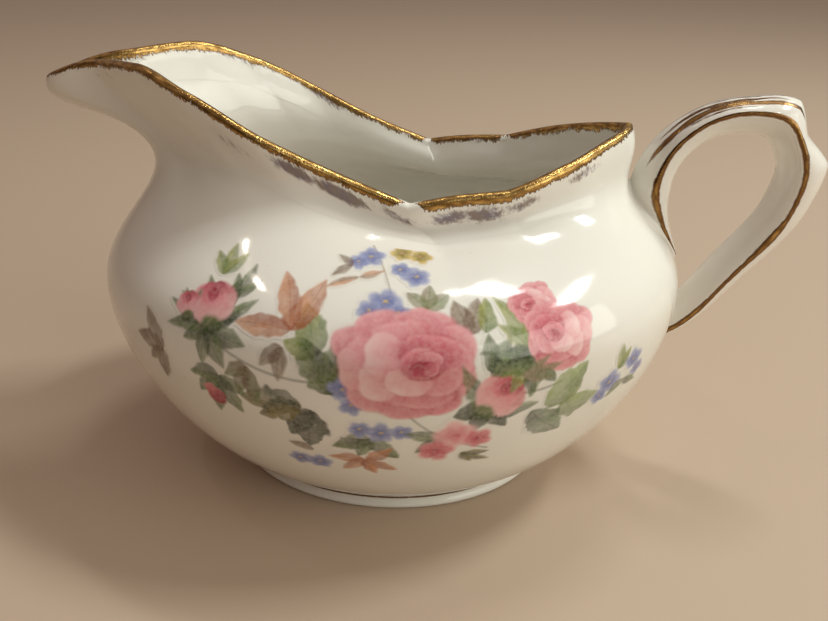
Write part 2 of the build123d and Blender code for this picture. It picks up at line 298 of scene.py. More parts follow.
def handle_frame(s):
    """Edge line's place, outward direction, half width, crown and depth, s from 0 to 1."""
    x, z, *sizes = np.array(HANDLE).T
    key = handle_run() / handle_run()[-1]
    s = np.asarray(s, float)
    spot = np.stack([flowing(key, x, s), 0 * s, flowing(key, z, s)], -1)
    d = 1e-3
    lead_x = flowing(key, x, s + d) - flowing(key, x, s - d)
    lead_z = flowing(key, z, s + d) - flowing(key, z, s - d)
    out = unit(np.stack([-lead_z, 0 * s, lead_x], -1))
    width, crown, depth = (smooth(key, size, s) for size in sizes)
    first, last = SPUR_STATIONS
    spurs = slice(first, last + 1)
    pointed = peaked(key[spurs], sizes[1][spurs], np.clip(s, key[first], key[last]))
    crown = np.where((s > key[first]) & (s < key[last]), 0.25 * crown + 0.75 * pointed, crown)
    return spot, out, width, crown, depth


def handle_point(s, turn, level=0.0):
    """Point on the strap: turn 0 is its outer crown, a quarter turn its gilded edge."""
    s, turn = np.broadcast_arrays(s, turn)
    spot, out, width, crown, depth = handle_frame(s)
    c, q = np.cos(turn), np.sin(turn)
    reach = np.where(c > 0, crown, depth) + level
    power = np.where(c > 0, CROWN_POWER, DEPTH_POWER)
    rise = np.sign(c) * np.abs(c) ** power * reach
    across = np.sign(q) * np.abs(q) ** power * (width + level)
    return spot + rise[..., None] * out + across[..., None] * np.array([0, 1, 0])


def handle_normal(s, turn):
    d = 1e-3
    along = handle_point(s + d, turn) - handle_point(s - d, turn)
    around = handle_point(s, turn + d) - handle_point(s, turn - d)
    return unit(np.cross(along, around))


# ---- meshes ----
def in_metres(points):
    """Places in the frame of points that are in millimetres about the body's centre."""
    return (np.asarray(points) + CENTRE) * MM


def placed(name, data):
    """Object with this data, put in the scene."""
    thing = bpy.data.objects.new(name, data)
    bpy.context.scene.collection.objects.link(thing)
    return thing


def smooth_piece(name, points, faces):
    mesh = bpy.data.meshes.new(name)
    mesh.from_pydata(points, [], faces)
    mesh.shade_smooth()
    return placed(name, mesh)


def numbered(grid, around):
    """Number of each point in a grid, with the first column again at the end if it closes."""
    rows, columns = grid.shape[:2]
    index = np.arange(rows * columns).reshape(rows, columns)
    return np.concatenate([index, index[:, :1]], 1) if around else index


def faces_between(index):
    faces = np.stack([index[:-1, :-1], index[:-1, 1:], index[1:, 1:], index[1:, :-1]], -1)
    return faces.reshape(-1, 4).tolist()


def sheet(name, grid, around=True, ends=(None, None), flip=False):
    """Smooth mesh through a grid of points. Columns may close on themselves, and either end
    may close on a middle point."""
    index = numbered(grid, around)
    faces = faces_between(index)
    points = in_metres(grid.reshape(-1, 3)).tolist()
    for middle, line, turned in ((ends[0], index[0], True), (ends[1], index[-1], False)):
        if middle is None:
            continue
        points.append(in_metres(middle).tolist())
        pairs = zip(line[1:], line[:-1]) if turned else zip(line[:-1], line[1:])
        faces += [[int(a), int(b), len(points) - 1] for a, b in pairs]
    if flip:
        faces = [face[::-1] for face in faces]
    return smooth_piece(name, points, faces)


def stamp_values(piece, name, values):
    """Keeps a value, vector or colour for every vertex of a piece."""
    values = np.asarray(values, np.float32)
    kinds = {1: ("FLOAT", "value"), 3: ("FLOAT_VECTOR", "vector"), 4: ("FLOAT_COLOR", "color")}
    width = 1 if values.ndim == 1 else values.shape[1]
    kind, field = kinds[width]
    layer = piece.data.attributes.new(name, kind, "POINT")
    layer.data.foreach_set(field, values.ravel())


def finish_piece(piece, node, material):
    piece.data.materials.append(material)
    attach(piece, "root")
    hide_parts(node)
    return piece


def tree_of(piece):
    mesh = piece.data
    return BVHTree.FromPolygons([v.co for v in mesh.vertices],
                                [p.vertices for p in mesh.polygons])


def outer_tree():
    """The body's outer surface alone, for finding how far a point lies outside it."""
    angle = around_body()
    grid = np.array([body_point(angle, t) for t in np.linspace(0.02, 1, 140)])
    points = in_metres(grid.reshape(-1, 3)).tolist()
    return BVHTree.FromPolygons(points, faces_between(numbered(grid, True)))


def nearest(tree, points):
    """Nearest places on a mesh to points, and the mesh's normals there."""
    found = [tree.find_nearest(Vector(spot)) for spot in in_metres(points.reshape(-1, 3))]
    place = np.array([f[0] for f in found]) / MM - CENTRE
    normal = np.array([f[1] for f in found])
    return place.reshape(points.shape), normal.reshape(points.shape)


# ---- noise for painting ----
def mottle(x, y, size, seed):
    """Smooth seeded noise from -1 to 1 with lumps of a given size."""
    lattice = np.random.default_rng(seed).uniform(-1, 1, (97, 97))
    u, v = x / size, y / size
    i, j = np.floor(u).astype(int), np.floor(v).astype(int)
    fu, fv = u - i, v - j
    fu, fv = fu * fu * (3 - 2 * fu), fv * fv * (3 - 2 * fv)
    i, j = i % 96, j % 96
    low = lattice[i, j] * (1 - fu) + lattice[i + 1, j] * fu
    high = lattice[i, j + 1] * (1 - fu) + lattice[i + 1, j + 1] * fu
    return low * (1 - fv) + high * fv


def linear(*srgb):
    """A colour given from 0 to 255, as the linear values that shaders take."""
    c = np.array(srgb) / 255
    return np.where(c <= 0.04045, c / 12.92, ((c + 0.055) / 1.055) ** 2.4)


# ---- materials ----
GLAZE_WARM = linear(243, 238, 229)
GLAZE_COOL = linear(240, 238, 229)
GLAZE_ROUGH = 0.09


class Nodes:
    """Short calls for building one material's node tree."""

    def __init__(self, name):
        self.material = bpy.data.materials.new(name)
        self.material.use_nodes = True
        self.tree = self.material.node_tree
        self.shader = self.tree.nodes["Principled BSDF"]

    def add(self, kind, inputs=(), **settings):
        node = self.tree.nodes.new(kind)
        for key, value in settings.items():
            setattr(node, key, value)
        for key, value in dict(inputs).items():
            self.put(node.inputs[key], value)
        return node

    def put(self, socket, value):
        if isinstance(value, bpy.types.NodeSocket):
            self.tree.links.new(value, socket)
        else:
            socket.default_value = value

    def math(self, operation, *values):
        node = self.add("ShaderNodeMath", operation=operation)
        for socket, value in zip(node.inputs, values):
            self.put(socket, value)
        return node.outputs[0]

    def plus(self, a, b):
        return self.math("ADD", a, b)

    def minus(self, a, b):
        return self.math("SUBTRACT", a, b)

    def times(self, a, b):
        return self.math("MULTIPLY", a, b)

    def noise(self, vector, scale, detail=3.0, roughness=0.5):
        inputs = {"Vector": vector, "Scale": scale, "Detail": detail, "Roughness": roughness}
        return self.add("ShaderNodeTexNoise", inputs).outputs["Fac"]

    def mix(self, factor, a, b):
        node = self.add("ShaderNodeMix", data_type="RGBA")
        colour = [s for s in node.inputs if s.type == "RGBA"]
        self.put(node.inputs[0], factor)
        self.put(colour[0], a)
        self.put(colour[1], b)
        return node.outputs[2]

    def ramp(self, value, low, high, start=0.0, end=1.0):
        """Smooth change from start to end as value goes from low to high."""
        node = self.add("ShaderNodeMapRange", interpolation_type="SMOOTHSTEP")
        for key, number in zip(("Value", "From Min", "From Max", "To Min", "To Max"),
                               (value, low, high, start, end)):
            self.put(node.inputs[key], number)
        return node.outputs[0]

    def attribute(self, name, output="Fac"):
        return self.add("ShaderNodeAttribute", attribute_name=name).outputs[output]

    def stretched(self, vector, scale):
        node = self.add("ShaderNodeVectorMath", operation="MULTIPLY")
        self.put(node.inputs[0], vector)
        self.put(node.inputs[1], scale)
        return node.outputs[0]

    def set(self, **sockets):
        names = {"base": "Base Color", "metal": "Metallic", "rough": "Roughness",
                 "normal": "Normal", "ior": "IOR"}
        for key, value in sockets.items():
            self.put(self.shader.inputs[names[key]], value)


def rgba(colour):
    return (*[float(v) for v in colour], 1.0)


def glaze_parts(nodes):
    """Colour, roughness and bump of the white glaze, the same on every piece."""
    place = nodes.add("ShaderNodeTexCoord").outputs["Object"]
    drift = nodes.ramp(nodes.noise(place, 22.0, 2.0), 0.35, 0.65)
    colour = nodes.mix(drift, rgba(GLAZE_WARM), rgba(GLAZE_COOL))
    specks = nodes.ramp(nodes.noise(place, 900.0, 1.0), 0.74, 0.82)
    colour = nodes.mix(nodes.times(specks, 0.10), colour, rgba(linear(176, 160, 140)))
    dull = nodes.noise(place, 90.0, 3.0)
    rough = nodes.ramp(dull, 0.3, 0.7, GLAZE_ROUGH - 0.02, GLAZE_ROUGH + 0.03)
    height = nodes.noise(place, 140.0, 2.0)
    return place, colour, rough, height


def bump(nodes, height, distance):
    node = nodes.add("ShaderNodeBump", {"Height": height, "Distance": distance, "Strength": 1.0})
    return node.outputs[0]


def porcelain():
    nodes = Nodes("porcelain")
    _, colour, rough, height = glaze_parts(nodes)
    nodes.set(base=colour, rough=rough, normal=bump(nodes, height, 0.00006), ior=1.52)
    return nodes.material


def transfer_colours():
    """Fired colours under the same gloss: painted colour where the spray covers the glaze."""
    nodes = Nodes("flower colours")
    place, colour, rough, height = glaze_parts(nodes)
    paint = nodes.add("ShaderNodeAttribute", attribute_name="paint")
    grain = nodes.noise(place, 1500.0, 2.0)
    shade = nodes.mix(nodes.ramp(grain, 0.3, 0.7, 0.0, 0.12), paint.outputs["Color"],
                      rgba(linear(250, 240, 226)))
    nodes.set(base=nodes.mix(paint.outputs["Alpha"], colour, shade), rough=rough,
              normal=bump(nodes, height, 0.00006), ior=1.52)
    return nodes.material


def gilding(name, ragged, bristle, dark=0.5):
    """Burnished gold where a piece's cover is above nothing, with a ragged edge of bristle
    marks, and sponged grey-violet dust beyond it where a piece has any. Patches of the gold
    are rougher from wear and are painted darker there as painted reflection of dark
    surroundings, the more so as dark rises towards 1."""
    nodes = Nodes(name)
    _, glaze, glaze_rough, height = glaze_parts(nodes)
    where = nodes.attribute("place", "Vector")
    cover = nodes.attribute("cover")
    hairs = nodes.noise(nodes.stretched(where, bristle), 1.0, 4.0, 0.62)
    patches = nodes.noise(where, 0.35, 2.0)
    ragged_by_hairs = nodes.times(nodes.minus(hairs, 0.5), ragged * 4.0)
    ragged_by_patches = nodes.times(nodes.minus(patches, 0.5), ragged * 2.0)
    thickness = nodes.plus(cover, nodes.plus(ragged_by_hairs, ragged_by_patches))
    gold = nodes.ramp(thickness, -0.05, 0.22)
    # patches of wear roughen the gold; the next lines paint the same patches darker, as painted reflection
    # of dark surroundings
    wear_and_dark_reflection = nodes.noise(nodes.stretched(where, (0.5, 1.6, 1.0)), 1.0, 4.0)
    metal = nodes.mix(nodes.ramp(wear_and_dark_reflection, 0.3, 0.72), rgba(linear(216, 176, 106)),
                      rgba(linear(134, 98, 54) * (1 - 0.45 * dark)))
    metal = nodes.mix(nodes.ramp(thickness, 0.2, 0.8), rgba(linear(122, 88, 58)), metal)

    dust = nodes.attribute("dust")
    grain = nodes.noise(nodes.stretched(where, (1.3, 0.8, 1.0)), 1.0, 6.0, 0.75)
    cloud = nodes.noise(where, 0.45, 2.0)
    speck = nodes.plus(nodes.times(grain, 0.62), nodes.times(cloud, 0.38))
    threshold = nodes.minus(0.75, nodes.times(dust, 0.47))
    speckle = nodes.ramp(nodes.minus(speck, threshold), -0.04, 0.17)
    tint = nodes.mix(nodes.ramp(cloud, 0.35, 0.65), rgba(linear(94, 74, 100)), rgba(linear(118, 92, 78)))
    colour = nodes.mix(nodes.times(speckle, 0.85), glaze, tint)
    colour = nodes.mix(gold, colour, metal)
    rough = nodes.plus(nodes.times(gold, nodes.ramp(wear_and_dark_reflection, 0.3, 0.7, 0.06, 0.20)), glaze_rough)
    relief = nodes.plus(nodes.times(nodes.times(gold, hairs), 0.9), nodes.times(height, 0.5))
    nodes.set(base=colour, metal=gold, rough=rough, normal=bump(nodes, relief, 0.00010), ior=1.52)
    return nodes.material


# ---- china ----
def around_body(count=COLUMNS):
    return np.linspace(0, 2 * np.pi, count, endpoint=False)


def oval(a, b, z):
    angle = around_body()
    return np.stack([a * np.cos(angle), b * np.sin(angle), z + 0 * angle], -1)


def body_piece():
    """Bowl with its underside, rounded lip, inner wall and softly coved floor."""
    angle = around_body()
    under = [oval(FOOT_A * k, FOOT_B * k, FOOT_HEIGHT + UNDER_DOME * (1 - k * k))
             for k in np.linspace(0.15, 0.93, 7)]
    outside = [body_point(angle, t) for t in np.linspace(0, 1, 118)]
    lip = [over_lip(angle, turn) for turn in np.linspace(0, 1, 12)[1:]]
    inside = [within(angle, t) for t in np.linspace(1, WALL_FOOT, 88)[1:]]
    low = inside[-1]
    lead = unit(inside[-1] - inside[-2])
    level = low * [FLOOR_DRAW_IN, FLOOR_DRAW_IN, 0] + [0, 0, FOOT_HEIGHT + FLOOR]
    cove = [bezier([low, low + lead * COVE, level * [1.08, 1.08, 1], level], u)
            for u in np.linspace(0, 1, 9)[1:]]
    floor = [level * [k, k, 1] for k in np.linspace(0.86, 0.14, 6)]
    rows = np.array(under + outside + lip + inside + cove + floor)
    middle = [[0, 0, FOOT_HEIGHT + UNDER_DOME], [0, 0, FOOT_HEIGHT + FLOOR]]
    return sheet("china_body", rows, ends=middle)


def foot_side(z):
    """How far the foot's waisted side draws in at a height."""
    return smooth([0, 0.6, FOOT_HEIGHT / 2, FOOT_HEIGHT], [0.5, 0.1, 0.5, 0], z)


def foot_piece():
    """Waisted oval foot with a rounded tread and a plain inner side."""
    tread = FOOT_TREAD
    outer, inner = foot_side(tread), FOOT_WALL - FOOT_TAPER
    outside = [(foot_side(z), z) for z in np.linspace(FOOT_HEIGHT, tread, 22)]
    turn = np.linspace(0, np.pi / 2, 7)[1:]
    outer_edge = [(outer + tread * (1 - math.cos(a)), tread * (1 - math.sin(a))) for a in turn]
    inner_edge = [(inner - tread * math.cos(a), tread * (1 - math.sin(a))) for a in turn[::-1]]
    inside = [(inner + FOOT_TAPER * u, tread + (FOOT_HEIGHT - tread) * u)
              for u in np.linspace(0, 1, 8)]
    profile = outside + outer_edge + inner_edge + inside
    rows = np.array([oval(FOOT_A - inset, FOOT_B - inset, z) for inset, z in profile + profile[:1]])
    return sheet("foot", rows, flip=True)


def handle_piece(body):
    """Spurred strap, whose two ends lie just under the body's glaze."""
    s = np.linspace(0, 1, 261)[:, None]
    turn = np.linspace(0, 2 * np.pi, 96, endpoint=False)[None, :]
    grid = handle_point(s, turn)
    place, normal = nearest(body, grid)
    depth = -np.sum((grid - place) * normal, -1)
    near_end = (s < 0.4) | (s > 0.7)
    deep = (depth > SUNK) & near_end
    grid = np.where(deep[..., None], place - normal * SUNK, grid)
    return sheet("handle_strap", grid, ends=(grid[0].mean(0), grid[-1].mean(0)), flip=True)


def junction(body, span, turn):
    """Where lines along the strap leave the body, going from inside it outward."""
    s = np.linspace(*span, 240)
    grid = handle_point(s[:, None], turn[None, :])
    place, normal = nearest(body, grid)
    height = np.sum((grid - place) * normal, -1)
    first = np.argmax(height > 0, axis=0)
    low = np.maximum(first - 1, 0)
    columns = np.arange(len(turn))
    a, b = height[low, columns], height[first, columns]
    share = np.where(first > 0, -a / np.maximum(b - a, 1e-9), 0)
    return s[low] + share * (s[first] - s[low])


def softened(ring, times=6):
    for _ in range(times):
        ring = (np.roll(ring, 1, 0) + 2 * ring + np.roll(ring, -1, 0)) / 4
    return ring


def fillet_piece(name, body, strap, span, radius):
    """Concave collar of slip, tangent to the strap and to the body."""
    turn = np.linspace(0, 2 * np.pi, 160, endpoint=False)
    s = junction(body, span, turn)
    line = softened(handle_point(s, turn), 3)
    strap_normal = softened(handle_normal(s, turn), 3)
    outward = np.sign(np.sum(strap_normal * (line - handle_frame(s)[0]), -1, keepdims=True))
    strap_normal = unit(strap_normal * outward)
    _, body_normal = nearest(body, line)
    body_normal = unit(softened(body_normal, 3))
    slant = np.sum(strap_normal * body_normal, -1, keepdims=True)
    on_body, _ = nearest(body, line + radius * unit(strap_normal - slant * body_normal))
    on_strap, _ = nearest(strap, line + radius * unit(body_normal - slant * strap_normal))
    on_body, _ = nearest(body, softened(on_body))
    on_strap, _ = nearest(strap, softened(on_strap))
    on_body, on_strap = on_body - 0.02 * body_normal, on_strap - 0.02 * strap_normal
    rows = np.array([bezier([on_body, line, on_strap], u) for u in np.linspace(0, 1, 12)])
    along, up = rows[6, 1] - rows[6, 0], rows[7, 0] - rows[6, 0]
    flip = np.dot(np.cross(along, up), body_normal[0] + strap_normal[0]) < 0
    return sheet(name, rows, flip=flip)


# ---- gold ----
def bump_at(angle, middle, half):
    """1 at an angle in degrees, falling to 0 half a width away, the short way round."""
    away = np.abs((np.degrees(angle) - middle + 180) % 360 - 180)
    return 1 - step_between(0, half, away)


def stamp_gold(piece, cover, along, across, dust=None):
    """Keeps where gold and dust lie on a piece, and the places that their marks follow."""
    stamp_values(piece, "cover", cover.ravel())
    stamp_values(piece, "dust", np.zeros(cover.size) if dust is None else dust.ravel())
    stamp_values(piece, "place", np.stack([along, across, 0 * across], -1).reshape(-1, 3))
    return piece


def rim_gold():
    """Gold over the lip, sponged thin below it on both sides."""
    angle = around_body(960)
    drops = np.linspace(GOLD_OUTSIDE, 0, 30)
    outer = [offset(angle, below_rim(angle, drop), LIFT) for drop in drops[:-1]]
    turn = np.linspace(0, 1, 12)
    lip = [over_lip(angle, u, LIFT) for u in turn]
    inner_drops = np.linspace(0, GOLD_INSIDE, 21)[1:]
    inner = [within(angle, below_rim(angle, drop), LIFT) for drop in inner_drops]
    rows = np.array(outer + lip + inner)
    piece = sheet("gilt_rim", rows)

    crest = body_point(angle, 1.0)
    step = np.linalg.norm(np.roll(crest, -1, 0) - crest, axis=1)
    along = np.concatenate([[0], np.cumsum(step)[:-1]])
    half_lip = np.pi * LIP / 4
    down = np.concatenate([drops[:-1] + half_lip, half_lip * (1 - 2 * turn), -half_lip - inner_drops])
    along, down = np.meshgrid(along, down)
    outside = 1.45 + 0.5 * bump_at(angle, 300, 60) + 0.3 * bump_at(angle, 215, 40)
    inside = 1.60 + 0.8 * bump_at(angle, 130, 50)
    cover = np.where(down > 0, 1.7 * (outside - down), inside + down)
    _, _, key = rim_keys()
    cusps = np.degrees(key[list(RIM_CUSPS)])
    gaps = ((360 - cusps[1], 4.0, 3.4), (cusps[1], 2.5, 1.4), (cusps[0], 2.5, 1.2))
    for middle, half, loss in gaps:
        cover = cover - loss * bump_at(angle, middle, half)
    below = np.abs(down) - half_lip
    dust = 0.30 * (1 - step_between(0.6, 2.4, below))
    for middle, half, drop, reach, strength in RIM_DUST:
        depth = 1 - step_between(0, reach, np.abs(down - half_lip - drop))
        dust = np.maximum(dust, strength * (bump_at(angle, middle, half) * depth))
    dust = dust * (1 - bump_at(angle, 360 - cusps[1], 5.0) * (below < 1.0))
    # the dust fades out over the last rows on both sides, so the piece has no hard border
    fade = np.minimum(np.arange(len(rows)), len(rows) - 1 - np.arange(len(rows)))[:, None] / 3
    dust = dust * np.clip(fade, 0, 1)
    return stamp_gold(piece, cover, along, down, dust)


def foot_gold():
    angle = around_body(640)
    z = np.linspace(*FOOT_LINE, 7)
    inset = foot_side(z)[:, None] - LIFT
    x, y = (FOOT_A - inset) * np.cos(angle), (FOOT_B - inset) * np.sin(angle)
    piece = sheet("gilt_foot_line", np.stack([x, y, z[:, None] + 0 * x], -1))
    along = np.broadcast_to(angle * (FOOT_A + FOOT_B) / 2, x.shape)
    middle, half = sum(FOOT_LINE) / 2, (FOOT_LINE[1] - FOOT_LINE[0]) / 2
    cover = np.broadcast_to((half - np.abs(z - middle))[:, None], x.shape) * 1.4 - 0.05
    return stamp_gold(piece, cover, along, cover * 3)


def edge_gold(name, side, body):
    """Line along one edge of the strap, from the joint at its top to the one at its foot."""
    turn_at = side * np.pi / 2
    start = junction(body, UPPER_SPAN, np.array([turn_at]))[0]
    end = junction(body, LOWER_SPAN, np.array([turn_at]))[0]
    s = np.linspace(start - 0.004, end + 0.004, 420)
    _, _, _, crown, depth = handle_frame(s)
    reach = np.linspace(-1, 1, 15)
    size = EDGE_LINE_WIDTH * 1.5
    to_crown = np.minimum((size / crown) ** (1 / CROWN_POWER), EDGE_LINE_TURN)
    to_depth = np.minimum((size / depth) ** (1 / DEPTH_POWER), EDGE_LINE_TURN)
    bend = np.where(reach > 0, to_crown[:, None], to_depth[:, None]) * reach[None, :]
    turn = turn_at - side * bend
    grid = handle_point(s[:, None], turn, LIFT)
    piece = sheet(name, grid, around=False, flip=side < 0)
    along = s[:, None] * handle_run()[-1] + 0 * turn
    across = np.sign(reach) * np.abs(reach) ** 1.2 * size + 0 * turn
    width = EDGE_LINE_WIDTH * (1 + 0.25 * mottle(along, 0 * along, 6.0, 5))
    width = width * np.clip(EDGE_LINE_TIP + 12 * (s[:, None] - start), EDGE_LINE_TIP, 1)
    return stamp_gold(piece, width - np.abs(across), along, across)


def crest_gold():
    """Brushed strokes on top of the strap near its upper end: start, end, place across,
    half width, in millimetres along and across the strap."""
    strokes = [(15, 41, -2.4, 0.80), (19, 38, -1.2, 0.60), (24, 41, -0.3, 0.35),
               (18, 35, 0.8, 0.50), (20, 39, 1.9, 0.65), (16, 32, 2.7, 0.40), (23, 34, -3.1, 0.35)]
    length = handle_run()[-1]
    s = np.linspace(14.5, 42.0, 180)[:, None] / length
    turn = np.linspace(-1.35, 1.35, 61)[None, :]
    grid = handle_point(s, turn, LIFT)
    piece = sheet("gilt_crest", grid, around=False, flip=True)
    along = s * length + 0 * turn
    across = grid[..., 1]
    cover = np.full(across.shape, -1.0)
    for start, end, middle, half in strokes:
        taper = np.clip((along - start) * (end - along), 0, None) / ((end - start) / 2) ** 2
        wander = middle + 0.35 * mottle(along, 0 * along + middle * 9, 5.0, 11)
        cover = np.maximum(cover, half * taper**0.5 - np.abs(across - wander) - 0.12)
    return stamp_gold(piece, cover, along, across)


# ---- painted sprays ----
PINK_LIGHT = linear(247, 210, 207)
PINK_PALE, PINK, PINK_DEEP, PINK_HEART = (linear(243, 190, 190), linear(226, 132, 142),
                                          linear(198, 86, 102), linear(160, 48, 66))
GREEN, GREEN_DARK, GREEN_YELLOW = linear(108, 128, 72), linear(50, 64, 38), linear(158, 162, 78)
OLIVE, BROWN, RUSSET, ORANGE = (linear(134, 118, 44), linear(112, 84, 62),
                                linear(164, 92, 60), linear(214, 146, 100))
BLUE, BLUE_DEEP, YELLOW, GREY_LEAF = (linear(158, 166, 204), linear(104, 114, 170),
                                      linear(214, 186, 96), linear(150, 130, 108))
BLACK_GREEN = linear(42, 46, 30)

# Colours of leaves
RUSSET_LEAF = {"light": ORANGE, "deep": RUSSET}
YELLOW_GREEN = {"light": GREEN_YELLOW, "deep": GREEN}
FADED = {"light": GREY_LEAF, "deep": BROWN}
OLIVE_LEAF = {"light": OLIVE, "deep": GREEN_DARK}
DARK = {"light": GREEN_DARK, "deep": BLACK_GREEN}
LEAF_GREEN = {"light": linear(150, 170, 96), "deep": GREEN}

# Petals of a rose from the back to the front, about its middle, in half sizes: place, half
# length and half width, and how much of its pale, middle, deep or heart colour it has.
ROSE = [
    (-0.76, 0.42, 0.30, 0.30, "middle"),
    (-0.34, 0.66, 0.40, 0.30, "middle"),
    (0.22, 0.72, 0.46, 0.27, "middle"),
    (0.64, 0.34, 0.34, 0.40, "middle"),
    (0.72, -0.16, 0.27, 0.40, "middle"),
    (0.40, -0.58, 0.40, 0.32, "deep"),
    (-0.02, -0.76, 0.44, 0.24, "middle"),
    (-0.50, -0.46, 0.36, 0.40, "middle"),
    (-0.64, 0.04, 0.32, 0.48, "pale"),
    (0.02, 0.50, 0.52, 0.32, "middle"),
    (0.56, 0.10, 0.36, 0.46, "middle"),
    (0.18, -0.48, 0.52, 0.28, "middle"),
    (-0.36, -0.22, 0.32, 0.42, "light"),
    (-0.30, 0.22, 0.30, 0.40, "light"),
    (0.30, 0.34, 0.44, 0.28, "deep"),
    (0.42, -0.14, 0.36, 0.38, "middle"),
    (0.04, -0.22, 0.36, 0.28, "light"),
    (0.22, 0.10, 0.32, 0.28, "deep"),
    (0.30, 0.16, 0.22, 0.17, "middle"),
    (0.22, 0.00, 0.18, 0.17, "heart"),
    (0.34, 0.02, 0.12, 0.13, "deep"),
]
HEART_AT = np.array([0.24, 0.06])


class Spray:
    """A patch of the body's surface and the colours laid on it."""

    def __init__(self, name, region, spacing=0.17):
        (start, end), (low, high) = np.radians(region[0]), region[1]
        middle_angle, middle_t = np.array([(start + end) / 2]), (low + high) / 2
        ends = body_point(np.array([start]), BELLY_T), body_point(middle_angle, BELLY_T)
        wide = np.linalg.norm(ends[0] - ends[1]) * 2.1
        rise = [body_point(middle_angle, t) for t in np.linspace(low, high, 12)]
        tall = sum(np.linalg.norm(b - a) for a, b in zip(rise, rise[1:]))
        columns, rows = int(wide / spacing), int(tall / spacing)
        angle = np.broadcast_to(np.linspace(start, end, columns), (rows, columns))
        t = np.broadcast_to(np.linspace(low, high, rows)[:, None], (rows, columns))
        self.place = offset(angle, t, LIFT)
        self.name = name
        self.colour = np.zeros((rows, columns, 3)) + GLAZE_WARM
        self.cover = np.zeros((rows, columns))
        self.seed = 0

    def local(self, angle, t):
        """Coordinates across and up the surface from a place on it, in millimetres."""
        angle = np.array([math.radians(angle)])
        normal, up = facing(angle, t)
        across = np.cross(up, normal)
        from_centre = self.place - body_point(angle, t)[0]
        return from_centre @ across[0], from_centre @ up[0]

    def lay(self, mask, colour, strength=1.0):
        """Lays a wash of colour where mask is above 0."""
        alpha = np.clip(mask, 0, 1) * strength
        over = self.cover + alpha * (1 - self.cover)
        share = (alpha / np.maximum(over, 1e-6))[..., None]
        self.colour = self.colour + share * (colour - self.colour)
        self.cover = over

    def fresh(self):
        self.seed += 1
        return self.seed

    def petal(self, x, y, centre, size, turn, light, deep, lit=(0, 1), soft=0.22, grain=1.0):
        """A rounded petal, lighter towards its lit side, with a darker edge."""
        dx, dy = x - centre[0], y - centre[1]
        c, s = math.cos(turn), math.sin(turn)
        u, v = (dx * c + dy * s) / size[0], (-dx * s + dy * c) / size[1]
        r = np.sqrt(u * u + v * v) + 0.10 * mottle(x, y, min(size) * 0.7, self.fresh())
        mask = 1 - step_between(1 - soft, 1 + soft, r)
        norm = math.hypot(*lit)
        shade = 0.55 + 0.55 * (dx * lit[0] + dy * lit[1]) / norm / max(size)
        shade = np.clip(shade + 0.14 * mottle(x, y, 1.3 * grain, self.fresh()), 0, 1)
        colour = deep + (light - deep) * (shade**1.2)[..., None]
        self.lay(mask, colour, 0.93)
        rim = step_between(0.72, 0.96, r) * mask * step_between(0.55, 0.8, shade)
        self.lay(rim, PINK_PALE if light[0] > light[2] * 1.2 else light, 0.22)

    def rose(self, angle, t, size, mirror=1, turn=0.0):
        """A full rose, whose petals are laid over each other towards a furled heart."""
        x, y = self.local(angle, t)
        c, s = math.cos(turn), math.sin(turn)
        x, y = mirror * (x * c + y * s) / size[0], (-x * s + y * c) / size[1]
        tones = {"light": (PINK_LIGHT, PINK), "pale": (PINK_PALE, PINK),
                 "middle": (0.4 * PINK_PALE + 0.6 * PINK, PINK_DEEP),
                 "deep": (PINK, 0.5 * PINK_DEEP + 0.5 * PINK_HEART), "heart": (PINK_DEEP, PINK_HEART)}
        grain = 1 / max(size)
        for px, py, long, wide, tone in ROSE:
            middle = np.array([px, py])
            away = middle - HEART_AT + 1e-3
            light, deep = tones[tone]
            shadow = np.hypot((x - px) / long, (y - py) / wide)
            self.lay(1 - step_between(0.85, 1.25, shadow), deep * 0.85, 0.28)
            self.petal(x, y, (px, py), (long, wide), 0, light, deep, tuple(away), soft=0.10, grain=grain)

    def leaf(self, x, y, base, turn, length, width, light=GREEN, deep=GREEN_DARK, bend=0.15):
        """A pointed leaf from its base, darker at its foot and on one side of its midrib."""
        c, s = math.cos(turn), math.sin(turn)
        u = ((x - base[0]) * c + (y - base[1]) * s) / length
        v = (-(x - base[0]) * s + (y - base[1]) * c) / length - bend * np.clip(u, 0, 1) ** 2
        inside = np.clip(u, 0, 1)
        half = width / length * np.sin(np.pi * inside**0.8) ** 0.85
        half = half * (1 + 0.22 * mottle(x, y, 1.0, self.fresh()))
        mask = step_between(-0.26 / length, 0.30 / length, half - np.abs(v)) * (u > 0) * (u < 1)
        shade = (0.42 + 0.28 * np.sign(v) * step_between(0, 0.5 * width / length, np.abs(v))
                 + 0.34 * mottle(x, y, 1.5, self.fresh()) + 0.55 * (u - 0.45))
        colour = deep + (light - deep) * np.clip(shade, 0, 1)[..., None]
        wash = 0.78 + 0.14 * mottle(x, y, 2.2, self.fresh())
        self.lay(mask * wash, colour)
        rib = 1 - step_between(0.02, 0.20, np.abs(v) * length)
        veins = step_between(0.80, 1.0, np.cos(u * 22 - np.abs(v) * 24)) * 0.3
        self.lay(mask * np.maximum(rib, veins) * (u < 0.9), deep * 0.8, 0.30)

    def stem(self, x, y, points, width, colour=GREEN_DARK):
        """A thin curved stem through three points."""
        ends = np.array(points, float)
        line = [bezier([ends[0], ends[1], ends[2]], u) for u in np.linspace(0, 1, 16)]
        away = np.full(x.shape, 99.0)
        for a, b in zip(line, line[1:]):
            run = b - a
            share = ((x - a[0]) * run[0] + (y - a[1]) * run[1]) / (run @ run)
            share = np.clip(share, 0, 1)
            away = np.minimum(away, np.hypot(x - a[0] - share * run[0], y - a[1] - share * run[1]))
        self.lay(1 - step_between(width * 0.3, width * 1.2, away), colour, 0.5)

